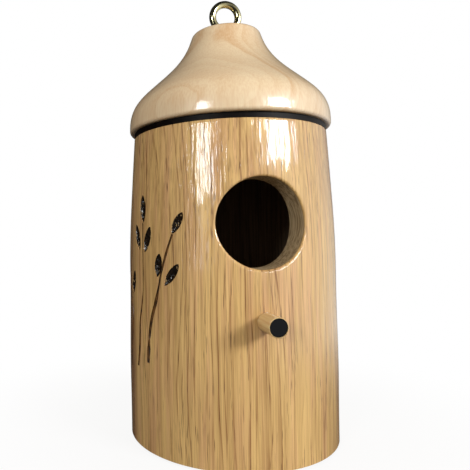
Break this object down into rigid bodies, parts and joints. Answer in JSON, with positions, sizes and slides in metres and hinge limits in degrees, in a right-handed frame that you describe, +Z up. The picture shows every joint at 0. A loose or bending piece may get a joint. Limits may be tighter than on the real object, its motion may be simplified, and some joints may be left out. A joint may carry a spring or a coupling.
{
  "type": "hummingbird house",
  "caption": "Turned wooden hummingbird house: a swelled barrel with a round entrance and a perch under it, a flared cap roof with a hanging eye, and a swing cover underneath for cleaning.",
  "frame": {"origin": "centre of the barrel's foot ring, on the barrel's axis, in the plane that the house stands on", "axes": "+Z up along the barrel's axis towards the hanging eye; -Y to the front, where the entrance and the perch are; +X to the right seen from the front"},
  "size_m": [0.08, 0.0897, 0.1704],
  "materials": {
    "barrel_wood": "clear gloss varnish over coarse straight grain",
    "black_band": "black stained, satin",
    "roof_wood": "clear gloss varnish over fine pale grain",
    "eye_metal": "bright plated wire",
    "perch_wood": "satin",
    "plug_black": "satin black",
    "cover_wood": "satin",
    "screw_steel": "bright zinc plated"
  },
  "bodies": {
    "house": {"barrel": "barrel_wood", "joint_band": "black_band", "roof": "roof_wood", "screw_eye": "eye_metal", "perch_dowel": "perch_wood", "perch_end_plug": "plug_black", "cover_pivot_screw": "screw_steel", "cover_stop_screw": "screw_steel"},
    "cover": {"clean_out_cover": "cover_wood"}
  },
  "joints": [
    {"name": "cover_swing", "type": "hinge", "parent": "house", "child": "cover", "pos_m": [0, 0, 0.0032], "axis": [0, 0, -1], "range_deg": [0, 180]}
  ]
}
